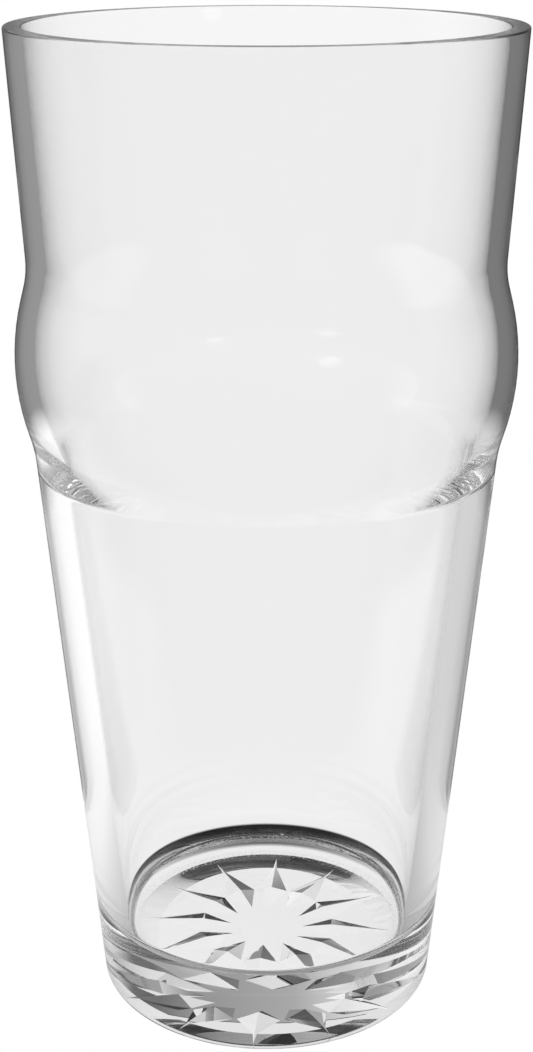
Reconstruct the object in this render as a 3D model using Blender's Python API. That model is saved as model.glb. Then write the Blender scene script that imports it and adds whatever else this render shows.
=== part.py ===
"""A pressed glass pint tumbler with a bulge below the rim and a star cut in its underside.

The glass is one piece. Its wall is a turned outline: each corner of the outline has a place and a
rounding, and the rounded outline is spun about the Z axis. Twelve mitre cuts then make the star.
Metres, +Z up, origin on the axis at the level that the glass stands on.
"""

import math

import bmesh
import bpy
from mathutils import Matrix, Vector

# Overall sizes
HEIGHT = 0.1696
RIM_RADIUS = 0.0434
BASE_RADIUS = 0.0289

# The outer outline's sharp corners: the bulge's lower end, its widest place and its upper end
SHOULDER_HEIGHT = 0.0987
SHOULDER_RADIUS = 0.0397
CROWN_HEIGHT = 0.1122
CROWN_RADIUS = 0.0442
WAIST_HEIGHT = 0.1284
WAIST_RADIUS = 0.0403

# The radii that round those corners
HEEL_ROUNDING = 0.0023
SHOULDER_ROUNDING = 0.026
CROWN_ROUNDING = 0.040
WAIST_ROUNDING = 0.017

# The wall, measured level. Inside, the bulge starts lower than outside, by the drop
RIM_WALL = 0.0031
LIP_ROUNDING = 0.0004
BULGE_WALL = 0.0033
SHOULDER_WALL = 0.0046
SHOULDER_DROP = 0.004
INNER_SHOULDER_ROUNDING = 0.006
BASE_WALL = 0.0050

# The floor inside, and the shallow recess under it
FLOOR_THICKNESS = 0.0132
FLOOR_ROUNDING = 0.0025
BEARING_LAND = 0.0012
RECESS_DEPTH = 0.00075
RECESS_SLOPE = 0.0056

# The star: kite-shaped cuts, each deepest where it is widest, that end on the recess's slope
STAR_RAYS = 12
STAR_TURN = math.radians(-5)
STAR_MARGIN = 0.0016
STAR_CENTRE_RADIUS = 0.0065
STAR_WIDEST_SHARE = 0.305
STAR_WIDTH = 0.0058
STAR_DEPTH = 0.0016
CUTTER_OVERRUN = 0.00005

# Facets
SPIN_STEPS = 64
ARC_STEP = math.radians(20)
LEAST_ARC_STEPS = 4
SAME_POINT = 1e-7
SHARP_ANGLE = math.radians(30)

GLASS_COLOUR = (0.93, 0.95, 0.95, 1.0)
GLASS_ROUGHNESS = 0.02
GLASS_IOR = 1.5


def turn_at(places, index):
    """How far the outline turns at this corner."""
    back = places[index - 1] - places[index]
    ahead = places[index + 1] - places[index]
    return math.pi - back.angle(ahead)


def reaches(places, roundings):
    """How far each rounding runs along its sides, where two that share a side both fit on it."""
    inner = range(1, len(places) - 1)
    wanted = [0] + [roundings[index] * math.tan(turn_at(places, index) / 2) for index in inner] + [0]
    sides = [(after - before).length for before, after in zip(places, places[1:])]
    room = [side / max(side, wanted[index] + wanted[index + 1]) for index, side in enumerate(sides)]
    return [0] + [wanted[index] * min(room[index - 1], room[index]) for index in inner] + [0]


def corner_arc(places, index, reach):
    """The arc that rounds one corner and starts and ends this far from it."""
    corner = places[index]
    back = (places[index - 1] - corner).normalized()
    ahead = (places[index + 1] - corner).normalized()
    turn = turn_at(places, index)
    radius = reach / math.tan(turn / 2)
    centre = corner + (back + ahead).normalized() * (radius / math.cos(turn / 2))
    arm = corner + back * reach - centre
    side = math.copysign(1, arm.cross(corner - centre))
    steps = max(LEAST_ARC_STEPS, math.ceil(turn / ARC_STEP))
    return [centre + Matrix.Rotation(side * turn * step / steps, 2) @ arm for step in range(steps + 1)]


def rounded(corners):
    """An outline's points, from its corners (radius, height, rounding)."""
    places = [Vector(corner[:2]) for corner in corners]
    reach = reaches(places, [corner[2] for corner in corners])
    points = [places[0]]
    for index in range(1, len(corners) - 1):
        arc = corner_arc(places, index, reach[index]) if reach[index] else [places[index]]
        points += [point for point in arc if (point - points[-1]).length > SAME_POINT]
    return points


def recess_radius():
    """The recess ends here, inside the flat ring that the glass stands on."""
    return BASE_RADIUS - HEEL_ROUNDING - BEARING_LAND


def wall_outline():
    """From the recess, across the ring, up the outside, over the rim and down to the floor's edge."""
    lower_slope = (SHOULDER_RADIUS - BASE_RADIUS) / SHOULDER_HEIGHT
    floor_radius = BASE_RADIUS + lower_slope * FLOOR_THICKNESS - BASE_WALL
    inner_shoulder = SHOULDER_RADIUS - lower_slope * SHOULDER_DROP - SHOULDER_WALL
    return rounded([
        (recess_radius() - RECESS_SLOPE, RECESS_DEPTH, 0),
        (recess_radius(), 0, 0),
        (BASE_RADIUS, 0, HEEL_ROUNDING),
        (SHOULDER_RADIUS, SHOULDER_HEIGHT, SHOULDER_ROUNDING),
        (CROWN_RADIUS, CROWN_HEIGHT, CROWN_ROUNDING),
        (WAIST_RADIUS, WAIST_HEIGHT, WAIST_ROUNDING),
        (RIM_RADIUS, HEIGHT, LIP_ROUNDING),
        (RIM_RADIUS - RIM_WALL, HEIGHT, LIP_ROUNDING),
        (WAIST_RADIUS - BULGE_WALL, WAIST_HEIGHT, WAIST_ROUNDING + BULGE_WALL),
        (CROWN_RADIUS - BULGE_WALL, CROWN_HEIGHT, CROWN_ROUNDING - BULGE_WALL),
        (inner_shoulder, SHOULDER_HEIGHT - SHOULDER_DROP, INNER_SHOULDER_ROUNDING),
        (floor_radius, FLOOR_THICKNESS, FLOOR_ROUNDING),
        (0, FLOOR_THICKNESS, 0),
    ])


def linked(name, form):
    """A new object in the scene that holds this bmesh."""
    bmesh.ops.recalc_face_normals(form, faces=form.faces)
    mesh = bpy.data.meshes.new(name)
    form.to_mesh(mesh)
    form.free()
    obj = bpy.data.objects.new(name, mesh)
    bpy.context.scene.collection.objects.link(obj)
    return obj


def turned_glass():
    """The outline spun about Z, with a flat face across the recess and another across the floor."""
    form = bmesh.new()
    line = [form.verts.new((point.x, 0, point.y)) for point in wall_outline()]
    edges = [form.edges.new(pair) for pair in zip(line, line[1:])]
    bmesh.ops.spin(
        form, geom=line + edges, axis=(0, 0, 1), cent=(0, 0, 0),
        steps=SPIN_STEPS, angle=math.tau, use_merge=True,
    )
    bmesh.ops.holes_fill(form, edges=[edge for edge in form.edges if edge.is_boundary])
    return linked("glass_body", form)


def add_ray(form, angle):
    """One ray's cutter: a kite-based pyramid with its point up, run a little past the recess face."""
    outer = recess_radius() - STAR_MARGIN
    widest = STAR_CENTRE_RADIUS + STAR_WIDEST_SHARE * (outer - STAR_CENTRE_RADIUS)
    apex = Vector((widest, 0, RECESS_DEPTH + STAR_DEPTH))
    kite = [
        Vector((STAR_CENTRE_RADIUS, 0, RECESS_DEPTH)),
        Vector((widest, -STAR_WIDTH / 2, RECESS_DEPTH)),
        Vector((outer, 0, RECESS_DEPTH * STAR_MARGIN / RECESS_SLOPE)),
        Vector((widest, STAR_WIDTH / 2, RECESS_DEPTH)),
    ]
    growth = 1 + CUTTER_OVERRUN / STAR_DEPTH
    turn = Matrix.Rotation(angle, 3, "Z")
    top = form.verts.new(turn @ apex)
    inner, right, tip, left = [form.verts.new(turn @ (apex + growth * (corner - apex))) for corner in kite]
    for face in ((inner, left, right), (right, left, tip)):
        form.faces.new(face)
    for pair in ((inner, right), (right, tip), (tip, left), (left, inner)):
        form.faces.new((*pair, top))


def star_cutter():
    """All the rays, evenly spaced, as one hidden helper."""
    form = bmesh.new()
    for ray in range(STAR_RAYS):
        add_ray(form, STAR_TURN + math.tau * ray / STAR_RAYS)
    cutter = linked("star_cutter", form)
    cutter.hide_render = True
    cutter.display_type = "WIRE"
    return cutter


def clear_glass():
    """Clear, very slightly cool soda-lime glass."""
    material = bpy.data.materials.new("clear_glass")
    material.use_nodes = True
    surface = material.node_tree.nodes["Principled BSDF"]
    surface.inputs["Base Color"].default_value = GLASS_COLOUR
    surface.inputs["Metallic"].default_value = 0
    surface.inputs["Roughness"].default_value = GLASS_ROUGHNESS
    surface.inputs["IOR"].default_value = GLASS_IOR
    surface.inputs["Transmission Weight"].default_value = 1
    return material


def main():
    for obj in list(bpy.data.objects):
        bpy.data.objects.remove(obj)
    glass = turned_glass()
    glass.data.materials.append(clear_glass())
    glass.data.shade_smooth()
    glass.data.set_sharp_from_angle(angle=SHARP_ANGLE)
    cut = glass.modifiers.new("star", "BOOLEAN")
    cut.operation = "DIFFERENCE"
    cut.use_self = True
    cut.object = star_cutter()


main()
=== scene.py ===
"""The looks of a pressed glass pint tumbler, built round its CAD frame: metres, +Z up."""

import math

import bmesh
import bpy
from mathutils import Matrix, Vector


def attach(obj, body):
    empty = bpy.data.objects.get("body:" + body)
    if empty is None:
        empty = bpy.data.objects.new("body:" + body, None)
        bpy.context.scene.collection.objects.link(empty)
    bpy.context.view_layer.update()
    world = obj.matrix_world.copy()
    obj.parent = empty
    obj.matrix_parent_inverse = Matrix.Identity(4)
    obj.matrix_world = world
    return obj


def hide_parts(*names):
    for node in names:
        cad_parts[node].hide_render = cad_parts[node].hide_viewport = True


MM = 0.001

# The outside of the wall, in millimetres. A corner is (radius, height) before it is rounded
BASE_RADIUS = 28.9
SHOULDER = (39.7, 98.7)
CROWN = (44.2, 112.2)
WAIST = (40.3, 128.4)
RIM = (43.4, 169.6)
HEEL_ROUNDING = 2.3
SHOULDER_ROUNDING = 26.0
CROWN_ROUNDING = 40.0
WAIST_ROUNDING = 17.0
LIP_ROUNDING = 0.4

# The wall's thickness, measured level. Inside, the bulge starts lower than outside, by the drop
RIM_WALL = 3.1
BULGE_WALL = 3.3
SHOULDER_WALL = 4.6
BASE_WALL = 5.0
SHOULDER_DROP = 4.0
INNER_SHOULDER_ROUNDING = 6.0

# The floor inside
FLOOR = 13.2
FLOOR_ROUNDING = 2.5

# The underside: a flat ring to stand on, and a shallow recess whose sides slope gently
RING_WIDTH = 1.2
RECESS = BASE_RADIUS - HEEL_ROUNDING - RING_WIDTH
RECESS_SLOPE = 5.6
RECESS_DEPTH = 0.75
RECESS_ROUNDING = 1.0

# The star: kite-shaped cuts, each deepest where it is widest, that end on the recess's slope
STAR_RAYS = 12
STAR_TURN = math.radians(-5)
STAR_INNER = 6.5
STAR_MARGIN = 1.6
STAR_WIDEST = 11.8
STAR_WIDTH = 5.8
STAR_DEPTH = 1.6
CUTTER_OVERRUN = 0.05

# The glass: its optics, streaks up the wall with their depth in millimetres, and scuffs on the
# ring that it stands on. A wear stop is (height in metres, share of the scuffs)
GLASS_IOR = 1.5
STREAK_SCALE = (120, 120, 14)
STREAK_DEPTH = 0.006
STREAK_DETAIL = 2.0
STREAK_ROUGHNESS = 0.4
SCUFF_SCALE = 1800.0
SCUFF_DETAIL = 4.0
SCUFF_STOPS = ((0.45, 0.0), (0.65, 0.35))
WEAR_HEIGHT = 0.001
WEAR_STOPS = ((0.0, 1.0), (0.0001, 0.6), (0.00025, 0.0))

# The floor: its width in metres, and its gap under the glass in millimetres
FLOOR_WIDTH = 12
FLOOR_GAP = 0.05

# The floor's brightness, with light and shade painted into it: a painted shadow round the foot,
# seen through the glass, and a painted reflection of a dim room, seen only mirrored in the glass.
# A stop is (distance or place in metres, brightness), and a reach is the stretch in metres that a
# row of stops lies on
CONTACT_SHADOW_REACH = 0.05
# Painted shadow: seen through the glass, the floor is dark in a ring round the foot
CONTACT_SHADOW_STOPS = ((0.0, 1.0), (0.0285, 1.0), (0.0295, 0.015), (0.042, 0.015), (0.045, 1.0))
# Painted reflection: mirrored in the glass, the floor dims to a grey room beyond the card's edge
PAINTED_ROOM_EDGE_REACH = 0.6
PAINTED_ROOM_EDGE_STOPS = ((0.0, 1.0), (0.235, 1.0), (0.30, 0.3), (0.6, 0.3))
# Painted shade, seen only mirrored in the glass: dimmer to the right
PAINTED_SIDE_SHADE_REACH = 0.2
PAINTED_SIDE_SHADE_STOPS = ((-0.10, 1.0), (0.10, 0.65))
# Painted shade, seen only mirrored in the glass: darker in front
PAINTED_FRONT_SHADE_REACH = 0.1
PAINTED_FRONT_SHADE_STOPS = ((-0.05, 0.05), (0.03, 1.0))

# A painted dark strip on the floor behind the glass that fans out from it, seen only mirrored in
# the glass: a painted dark reflection. Its stops are (metres aside per metre back, brightness)
PAINTED_STRIP_START = 0.06
PAINTED_STRIP_HALF_WIDTH = 0.033
PAINTED_STRIP_STOPS = ((0.20, 0.08), (0.45, 1.0))

# The room that the glass mirrors. A stop is (one coordinate of the direction, brightness)
HIGH_FROM = 0.2
LOW_STOPS = ((-0.64, 0.36), (-0.45, 0.3), (0.3, 0.22), (0.46, 0.15), (0.66, 0.08))
HIGH_STOPS = (
    (-0.9, 1.2),
    (-0.4, 0.8),
    (-0.1, 0.42),
    (0.3, 0.3),
    (0.5, 0.13),
    (0.62, 0.13),
    (0.8, 0.8),
)
BEHIND_STOPS = ((-0.3, 0.15), (0.1, 1.0))
ZENITH_STOPS = ((0.82, 0.0), (0.88, 1.0))

# Light that is mirrored again and again inside the wall. A stop is (reflections, brightness)
MOST_REFLECTIONS = 10
REFLECTION_STOPS = ((1.2, 1.0), (1.8, 0.08), (4.0, 0.08), (6.0, 1.2))

# Light that the wall carries down inside itself needs many bounces before it comes out
BOUNCES = 128

# The soft box, in metres and watts
KEY_PLACE = (0.69, -1.31, 0.33)
KEY_AIM = (0, 0, 0.11)
KEY_WIDTH = 0.26
KEY_HEIGHT = 0.09
KEY_POWER = 0.05

# The camera, with lengths in metres and the lens and sensor in millimetres
CAMERA_PLACE = (0, -0.3223, 0.1951)
CAMERA_DOWN = math.radians(11.171)
CAMERA_LENS = 66.59
CAMERA_SENSOR = 36.0
CAMERA_SHIFT = -0.2624
CAMERA_NEAREST = 0.01

# How fine the mesh is: lengths in millimetres, but the weld, which is in metres
WALL_SIDES = 256
ROUND_STEP = math.radians(3)
LEAST_ROUND_SEGMENTS = 8
STRAIGHT_STEP = 2.5
SAME_POINT = 1e-4
SMOOTH_ANGLE = math.radians(14)
WELD = 1e-6


def deselect():
    bpy.ops.object.select_all(action="DESELECT")


def edit_mode():
    bpy.ops.object.mode_set(mode="EDIT")


def object_mode():
    bpy.ops.object.mode_set(mode="OBJECT")


def select_only(obj):
    deselect()
    obj.select_set(True)
    bpy.context.view_layer.objects.active = obj


def pick_edges(obj, wanted):
    """In edit mode, selects only the edges for which wanted(edge) is true."""
    bpy.ops.mesh.select_mode(type="EDGE")
    bpy.ops.mesh.select_all(action="DESELECT")
    form = bmesh.from_edit_mesh(obj.data)
    for edge in form.edges:
        edge.select_set(wanted(edge))
    bmesh.update_edit_mesh(obj.data)


def wall_corners():
    """(radius, height, rounding) of each corner: underside, outside, rim, inside."""
    shoulder_slope = (SHOULDER[0] - BASE_RADIUS) / SHOULDER[1]
    floor_radius = BASE_RADIUS + shoulder_slope * FLOOR - BASE_WALL
    inner_shoulder = SHOULDER[0] - shoulder_slope * SHOULDER_DROP - SHOULDER_WALL
    return [
        (RECESS - RECESS_SLOPE, RECESS_DEPTH, RECESS_ROUNDING),
        (RECESS, 0, RECESS_ROUNDING),
        (BASE_RADIUS, 0, HEEL_ROUNDING),
        (*SHOULDER, SHOULDER_ROUNDING),
        (*CROWN, CROWN_ROUNDING),
        (*WAIST, WAIST_ROUNDING),
        (*RIM, LIP_ROUNDING),
        (RIM[0] - RIM_WALL, RIM[1], LIP_ROUNDING),
        (WAIST[0] - BULGE_WALL, WAIST[1], WAIST_ROUNDING + BULGE_WALL),
        (CROWN[0] - BULGE_WALL, CROWN[1], CROWN_ROUNDING - BULGE_WALL),
        (inner_shoulder, SHOULDER[1] - SHOULDER_DROP, INNER_SHOULDER_ROUNDING),
        (floor_radius, FLOOR, FLOOR_ROUNDING),
    ]


def turn_at(places, index):
    """How far the outline turns at this corner."""
    back = places[index - 1] - places[index]
    ahead = places[index + 1] - places[index]
    return math.pi - back.angle(ahead)


def reaches(places, roundings):
    """How far each rounding runs along its sides, where two that share a side both fit on it."""
    inner = range(1, len(places) - 1)
    turns = [turn_at(places, index) for index in inner]
    wanted = [0, *(roundings[index] * math.tan(turn / 2) for index, turn in zip(inner, turns)), 0]
    sides = [(after - before).length for before, after in zip(places, places[1:])]
    room = [side / max(side, sum(wanted[index : index + 2])) for index, side in enumerate(sides)]
    return [0, *(wanted[index] * min(room[index - 1], room[index]) for index in inner), 0]


def corner_arc(places, index, reach):
    """The arc that rounds one corner and starts and ends this far from it."""
    corner = places[index]
    back = (places[index - 1] - corner).normalized()
    ahead = (places[index + 1] - corner).normalized()
    turn = turn_at(places, index)
    radius = reach / math.tan(turn / 2)
    centre = corner + (back + ahead).normalized() * (radius / math.cos(turn / 2))
    arm = corner + back * reach - centre
    side = math.copysign(1, arm.cross(corner - centre))
    steps = max(LEAST_ROUND_SEGMENTS, math.ceil(turn / ROUND_STEP))
    turned = [Matrix.Rotation(side * turn * step / steps, 2) @ arm for step in range(steps + 1)]
    return [centre + point for point in turned]


def wall_rings():
    """The outline's points in order, with extra points along the straight stretches."""
    corners = [(0, RECESS_DEPTH, 0), *wall_corners(), (0, FLOOR, 0)]
    places = [Vector(corner[:2]) for corner in corners]
    reach = reaches(places, [corner[2] for corner in corners])
    rings = []
    for index in range(1, len(corners) - 1):
        arc = corner_arc(places, index, reach[index])
        if rings:
            start = rings[-1]
            gap = arc[0] - start
            cuts = math.ceil(gap.length / STRAIGHT_STEP)
            rings += [start + gap * cut / cuts for cut in range(1, cuts)]
        rings += [point for point in arc if not rings or (point - rings[-1]).length > SAME_POINT]
    return rings


def turned_wall():
    """One point extruded along the outline, spun round the axis and closed at both ends."""
    rings = wall_rings()
    deselect()
    bpy.ops.mesh.primitive_circle_add(vertices=3, radius=MM, location=(0, 0, 0))
    glass = bpy.context.object
    glass.name = "clear_pint_glass"
    edit_mode()
    bpy.ops.mesh.select_all(action="SELECT")
    bpy.ops.mesh.merge(type="CENTER")
    # The point moves to the first ring, and is extruded from each ring to the next
    place = Vector((0, 0))
    for ring in rings:
        step = (ring - place) * MM
        if place.length:
            move = {"value": (step.x, 0, step.y)}
            bpy.ops.mesh.extrude_vertices_move(TRANSFORM_OT_translate=move)
        else:
            bpy.ops.transform.translate(value=(step.x, 0, step.y))
        place = ring
    bpy.ops.mesh.select_all(action="SELECT")
    bpy.ops.mesh.spin(steps=WALL_SIDES, angle=math.tau, center=(0, 0, 0), axis=(0, 0, 1))
    bpy.ops.mesh.select_all(action="SELECT")
    bpy.ops.mesh.remove_doubles(threshold=WELD)
    pick_edges(glass, lambda edge: edge.is_boundary)
    bpy.ops.mesh.fill_holes(sides=0)
    bpy.ops.mesh.select_all(action="SELECT")
    bpy.ops.mesh.normals_make_consistent(inside=False)
    object_mode()
    return glass


def add_ray_cutter(angle):
    """A pyramid on a kite-shaped base, point up, where one ray of the star is cut."""
    apex = Vector((STAR_WIDEST, 0, RECESS_DEPTH + STAR_DEPTH))
    outer = Vector((RECESS - STAR_MARGIN, 0, RECESS_DEPTH * STAR_MARGIN / RECESS_SLOPE))
    grow = 1 + CUTTER_OVERRUN / STAR_DEPTH
    deselect()
    bpy.ops.mesh.primitive_cone_add(vertices=4, radius1=1, radius2=0, depth=1, location=(0, 0, 0))
    cutter = bpy.context.object
    edit_mode()
    # The cone's base corners lie on the X and Y axes, 1 from the middle
    form = bmesh.from_edit_mesh(cutter.data)
    for vert in form.verts:
        if vert.co.z > 0:
            corner = apex
        elif vert.co.x > 0.5:
            corner = outer
        elif vert.co.x < -0.5:
            corner = Vector((STAR_INNER, 0, RECESS_DEPTH))
        else:
            side = math.copysign(STAR_WIDTH / 2, vert.co.y)
            corner = Vector((STAR_WIDEST, side, RECESS_DEPTH))
        vert.co = (apex + (corner - apex) * grow) * MM
    bmesh.update_edit_mesh(cutter.data)
    bpy.ops.mesh.select_all(action="SELECT")
    bpy.ops.mesh.quads_convert_to_tris(quad_method="BEAUTY")
    object_mode()
    cutter.rotation_euler.z = angle
    bpy.ops.object.transform_apply(location=True, rotation=True, scale=True)
    return cutter


def cut_star(glass):
    """Cuts the rays into the underside of the base."""
    turns = [STAR_TURN + math.tau * ray / STAR_RAYS for ray in range(STAR_RAYS)]
    rays = [add_ray_cutter(turn) for turn in turns]
    deselect()
    for ray in rays:
        ray.select_set(True)
    bpy.context.view_layer.objects.active = rays[0]
    bpy.ops.object.join()
    select_only(glass)
    cut = glass.modifiers.new("star", "BOOLEAN")
    cut.operation = "DIFFERENCE"
    cut.object = rays[0]
    bpy.ops.object.modifier_apply(modifier=cut.name)
    bpy.data.objects.remove(rays[0])


def add_node(tree, kind, **settings):
    """A new node with these properties and sockets set."""
    node = tree.nodes.new(kind)
    for name, value in settings.items():
        if hasattr(node, name):
            setattr(node, name, value)
        else:
            node.inputs[name.replace("_", " ")].default_value = value
    return node


def ramp(tree, source, low, high, stops):
    """The value at source on a row of (place, value) stops that lie between low and high."""
    spread = add_node(tree, "ShaderNodeMapRange", From_Min=low, From_Max=high)
    tree.links.new(source, spread.inputs["Value"])
    colours = tree.nodes.new("ShaderNodeValToRGB")
    tree.links.new(spread.outputs["Result"], colours.inputs["Fac"])
    row = colours.color_ramp.elements
    while len(row) < len(stops):
        row.new(1)
    for stop, (place, value) in zip(row, stops):
        stop.position = (place - low) / (high - low)
        stop.color = (value, value, value, 1)
    return colours.outputs["Color"]


def feed(tree, socket, value):
    """Sets a socket to a number, or links another node's output to it."""
    if isinstance(value, (int, float)):
        socket.default_value = value
    else:
        tree.links.new(value, socket)


def maths(tree, operation, first, second):
    """One step of arithmetic on two sockets, or on a socket and a number."""
    node = add_node(tree, "ShaderNodeMath", operation=operation)
    feed(tree, node.inputs[0], first)
    feed(tree, node.inputs[1], second)
    return node.outputs["Value"]


def choose(tree, test, no, yes):
    """One socket or number where the test is 0, and the other where it is 1."""
    node = add_node(tree, "ShaderNodeMix", data_type="FLOAT")
    feed(tree, node.inputs["Factor"], test)
    feed(tree, node.inputs["A"], no)
    feed(tree, node.inputs["B"], yes)
    return node.outputs["Result"]


def coordinates(tree, vector):
    """The X, Y and Z sockets of a vector."""
    split = tree.nodes.new("ShaderNodeSeparateXYZ")
    tree.links.new(vector, split.inputs[0])
    return split.outputs


def is_mirrored(tree, path):
    """1 for light that the glass has mirrored at least once."""
    return maths(tree, "GREATER_THAN", path.outputs["Glossy Depth"], 0.5)


def clear_glass():
    """Clear pressed glass: polished, faintly streaked up the wall, and scuffed where it stands."""
    material = bpy.data.materials.new("clear_glass")
    material.use_nodes = True
    tree = material.node_tree
    surface = tree.nodes["Principled BSDF"]
    surface.inputs["Base Color"].default_value = (1, 1, 1, 1)
    surface.inputs["IOR"].default_value = GLASS_IOR
    surface.inputs["Transmission Weight"].default_value = 1.0
    place = tree.nodes.new("ShaderNodeTexCoord").outputs["Object"]
    stretch = add_node(tree, "ShaderNodeMapping", Scale=STREAK_SCALE)
    tree.links.new(place, stretch.inputs["Vector"])
    streaks = add_node(
        tree, "ShaderNodeTexNoise", Scale=1.0, Detail=STREAK_DETAIL, Roughness=STREAK_ROUGHNESS
    )
    tree.links.new(stretch.outputs["Vector"], streaks.inputs["Vector"])
    waves = add_node(tree, "ShaderNodeBump", Strength=1.0, Distance=STREAK_DEPTH * MM)
    tree.links.new(streaks.outputs["Fac"], waves.inputs["Height"])
    tree.links.new(waves.outputs["Normal"], surface.inputs["Normal"])
    height = coordinates(tree, place)["Z"]
    low = ramp(tree, height, 0, WEAR_HEIGHT, WEAR_STOPS)
    scuffs = add_node(tree, "ShaderNodeTexNoise", Scale=SCUFF_SCALE, Detail=SCUFF_DETAIL)
    tree.links.new(place, scuffs.inputs["Vector"])
    worn = ramp(tree, scuffs.outputs["Fac"], 0, 1, SCUFF_STOPS)
    tree.links.new(maths(tree, "MULTIPLY", low, worn), surface.inputs["Roughness"])
    return material


def painted_strip_behind(tree, x, y):
    """The brightness of the painted dark strip behind the glass, a painted dark reflection, and 1
    outside it.
    """
    across = maths(tree, "ABSOLUTE", x, 0.0)
    aside = maths(tree, "SUBTRACT", across, PAINTED_STRIP_HALF_WIDTH)
    bearing = maths(tree, "DIVIDE", aside, y)
    fan = ramp(tree, bearing, 0, 1, PAINTED_STRIP_STOPS)
    far = maths(tree, "GREATER_THAN", y, PAINTED_STRIP_START)
    return choose(tree, far, 1.0, fan)


def pale_floor():
    """A white card that lights the glass. The camera sees it plain white.

    Seen through the glass, it is dark close round the foot: a painted shadow. Mirrored in the
    glass, it is a painted reflection: it ends in a grey room, and painted shade makes it dimmer to
    the right, in front and along the dark strip behind.
    """
    bpy.ops.mesh.primitive_plane_add(size=FLOOR_WIDTH, location=(0, 0, -FLOOR_GAP * MM))
    floor = bpy.context.object
    floor.name = "floor"
    material = bpy.data.materials.new("pale_floor")
    material.use_nodes = True
    tree = material.node_tree
    tree.nodes.clear()
    path = tree.nodes.new("ShaderNodeLightPath")
    place = tree.nodes.new("ShaderNodeNewGeometry").outputs["Position"]
    x, y, _ = coordinates(tree, place)
    length = add_node(tree, "ShaderNodeVectorMath", operation="LENGTH")
    tree.links.new(place, length.inputs[0])
    distance = length.outputs["Value"]
    # Painted shadow round the foot, seen through the glass
    painted_contact_shadow = ramp(tree, distance, 0, CONTACT_SHADOW_REACH, CONTACT_SHADOW_STOPS)
    # Painted reflection and painted shade, seen only mirrored in the glass
    card = ramp(tree, distance, 0, PAINTED_ROOM_EDGE_REACH, PAINTED_ROOM_EDGE_STOPS)
    side = ramp(tree, x, -PAINTED_SIDE_SHADE_REACH, PAINTED_SIDE_SHADE_REACH, PAINTED_SIDE_SHADE_STOPS)
    depth = ramp(tree, y, -PAINTED_FRONT_SHADE_REACH, PAINTED_FRONT_SHADE_REACH, PAINTED_FRONT_SHADE_STOPS)
    mirrored = maths(tree, "MULTIPLY", maths(tree, "MULTIPLY", card, side), depth)
    # Painted dark reflection: the strip behind the glass, seen only mirrored
    mirrored = maths(tree, "MULTIPLY", mirrored, painted_strip_behind(tree, x, y))
    # Seen through the glass, the painted shadow round the foot; mirrored, the painted reflection
    indirect = choose(tree, is_mirrored(tree, path), painted_contact_shadow, mirrored)
    light = add_node(tree, "ShaderNodeEmission")
    strength = choose(tree, path.outputs["Is Camera Ray"], indirect, 1.0)
    tree.links.new(strength, light.inputs["Strength"])
    out = tree.nodes.new("ShaderNodeOutputMaterial")
    tree.links.new(light.outputs[0], out.inputs["Surface"])
    floor.data.materials.append(material)


def studio():
    """A white surround. Mirrored in the glass, it is a grey room, lighter on the left."""
    scene = bpy.context.scene
    scene.view_settings.view_transform = "Standard"
    scene.world = bpy.data.worlds.new("studio")
    scene.world.use_nodes = True
    tree = scene.world.node_tree
    path = tree.nodes.new("ShaderNodeLightPath")
    direction = tree.nodes.new("ShaderNodeTexCoord").outputs["Generated"]
    x, y, z = coordinates(tree, direction)
    low = ramp(tree, x, -1, 1, LOW_STOPS)
    high = ramp(tree, x, -1, 1, HIGH_STOPS)
    side = choose(tree, maths(tree, "GREATER_THAN", z, HIGH_FROM), low, high)
    behind = ramp(tree, y, -1, 1, BEHIND_STOPS)
    zenith = ramp(tree, z, -1, 1, ZENITH_STOPS)
    reflections = path.outputs["Glossy Depth"]
    repeated = ramp(tree, reflections, 0, MOST_REFLECTIONS, REFLECTION_STOPS)
    repeated = maths(tree, "MAXIMUM", repeated, zenith)
    room = maths(tree, "MULTIPLY", side, behind)
    mirrored = maths(tree, "MULTIPLY", room, repeated)
    strength = choose(tree, is_mirrored(tree, path), 1.0, mirrored)
    background = tree.nodes["Background"]
    background.inputs["Color"].default_value = (1, 1, 1, 1)
    tree.links.new(strength, background.inputs["Strength"])


def key_light():
    """A small soft box behind the camera's right shoulder, seen as a faint glint on the bulge."""
    bpy.ops.object.light_add(type="AREA", location=KEY_PLACE)
    light = bpy.context.object
    light.name = "key_light"
    light.data.shape = "ELLIPSE"
    light.data.size = KEY_WIDTH
    light.data.size_y = KEY_HEIGHT
    light.data.energy = KEY_POWER
    aim = Vector(KEY_AIM) - Vector(KEY_PLACE)
    light.rotation_euler = aim.to_track_quat("-Z", "Y").to_euler()


def camera():
    """Just above the rim and looking down a little, shifted to frame the whole glass."""
    data = bpy.data.cameras.new("camera")
    data.sensor_width = CAMERA_SENSOR
    data.lens = CAMERA_LENS
    data.shift_y = CAMERA_SHIFT
    data.clip_start = CAMERA_NEAREST
    obj = bpy.data.objects.new("camera", data)
    bpy.context.scene.collection.objects.link(obj)
    obj.location = CAMERA_PLACE
    obj.rotation_euler = (math.pi / 2 - CAMERA_DOWN, 0, 0)
    bpy.context.scene.camera = obj


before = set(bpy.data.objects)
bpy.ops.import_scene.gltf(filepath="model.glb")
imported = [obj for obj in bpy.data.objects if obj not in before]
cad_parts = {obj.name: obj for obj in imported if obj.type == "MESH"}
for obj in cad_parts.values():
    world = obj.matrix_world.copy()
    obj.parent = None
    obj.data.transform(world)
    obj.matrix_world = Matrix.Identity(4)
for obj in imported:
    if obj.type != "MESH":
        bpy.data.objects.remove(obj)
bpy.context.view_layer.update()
camera()
glass = turned_wall()
cut_star(glass)
select_only(glass)
bpy.ops.object.shade_smooth_by_angle(angle=SMOOTH_ANGLE)
glass.data.materials.append(clear_glass())
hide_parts("glass_body")
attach(glass, "root")
studio()
pale_floor()
key_light()
cycles = bpy.context.scene.cycles
cycles.max_bounces = BOUNCES
cycles.transmission_bounces = BOUNCES
cycles.glossy_bounces = BOUNCES
